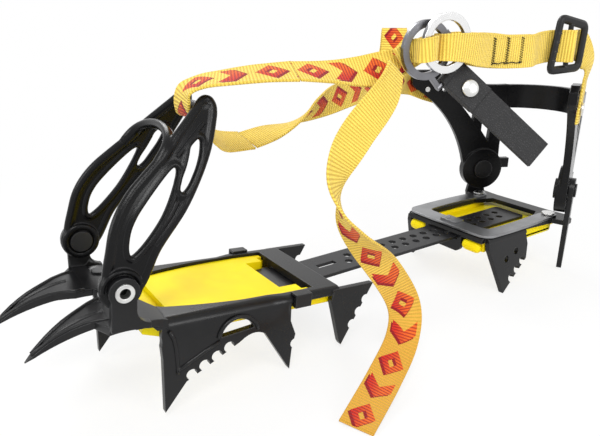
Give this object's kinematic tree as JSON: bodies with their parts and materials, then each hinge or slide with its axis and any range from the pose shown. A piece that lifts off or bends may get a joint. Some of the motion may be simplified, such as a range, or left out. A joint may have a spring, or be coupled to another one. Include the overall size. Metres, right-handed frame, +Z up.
{
  "type": "strap-on crampon",
  "caption": "Mountaineering crampon with pressed steel front and heel frames, a perforated linking bar, moulded toe and heel cages, snow plates and a woven ring-closed strap.",
  "frame": {"origin": "middle of the top face of the front frame's rear crossbar", "axes": "+X from toe to heel, +Y from the buckle side to the far side, +Z up"},
  "size_m": [0.411, 0.1767, 0.1859],
  "materials": {
    "black_steel": "satin black paint on pressed steel",
    "black_plastic": "moulded flexible black plastic",
    "yellow_plastic": "moulded yellow plastic",
    "rivet_steel": "bright steel",
    "spring_steel": "grey spring steel",
    "dark_steel": "dark plated steel",
    "bright_ring": "bright plated steel",
    "black_leather": "grained black sheet",
    "webbing": "yellow ribbed webbing with a woven orange and red pattern"
  },
  "bodies": {
    "front": {"front_frame": "black_steel", "front_snow_plate": "yellow_plastic", "snow_plate_clips": "black_plastic", "front_plate_rivet": "black_steel", "toe_rivets": "rivet_steel", "linking_bar": "black_steel", "strap_toe_loop": "webbing"},
    "toe_cage": {"toe_cage": "black_plastic"},
    "heel": {"heel_frame": "black_steel", "heel_snow_plate": "yellow_plastic", "lock_rivets": "rivet_steel", "heel_cage": "black_plastic", "heel_pivots": "black_steel", "strap_rivets": "rivet_steel", "strap_near_run": "webbing", "strap_far_run": "webbing", "strap_tail": "webbing", "strap_short": "webbing", "strap_keeper": "webbing"},
    "lock": {"lock_plate": "spring_steel", "lock_peg": "spring_steel"},
    "ring_dark": {"ring_dark": "dark_steel"},
    "ring_silver": {"ring_silver": "bright_ring"},
    "tab": {"pull_tab": "black_leather", "tab_rivet": "rivet_steel"},
    "slide": {"strap_slide": "black_plastic"}
  },
  "joints": [
    {"name": "toe_cage_hinge", "type": "hinge", "parent": "front", "child": "toe_cage", "pos_m": [-0.11391, 0, 0.03199], "axis": [0, 1, 0], "range_deg": [-25, 30], "deforming": ["strap_toe_loop"]},
    {"name": "heel_slide", "type": "slide", "parent": "front", "child": "heel", "axis": [1, 0, 0], "range_m": [-0.04, 0.02], "deforming": ["lock_peg", "strap_near_run", "strap_far_run"]},
    {"name": "lock_lift", "type": "hinge", "parent": "heel", "child": "lock", "pos_m": [0.2135, 0, 0], "axis": [0, 1, 0], "range_deg": [0, 3], "stiffness_Nm_per_rad": 2, "springref_deg": -2.86},
    {"name": "ring_dark_turn", "type": "hinge", "parent": "heel", "child": "ring_dark", "pos_m": [0.05, -0.046, 0.126], "axis": [0.1564, 0.9877, 0], "range_deg": [-8, 8], "deforming": ["strap_near_run", "strap_short"]},
    {"name": "ring_silver_turn", "type": "hinge", "parent": "heel", "child": "ring_silver", "pos_m": [0.05796, -0.05202, 0.1294], "axis": [0.1564, 0.9877, 0], "continuous": true},
    {"name": "tab_swing", "type": "hinge", "parent": "ring_dark", "child": "tab", "pos_m": [0.06691, -0.04868, 0.11403], "axis": [0.7105, -0.1125, 0.6947], "range_deg": [-25, 15]},
    {"name": "buckle_slide", "type": "slide", "parent": "heel", "child": "slide", "axis": [0.9877, -0.1564, 0], "range_m": [-0.006, 0.006], "deforming": ["strap_short"]}
  ]
}
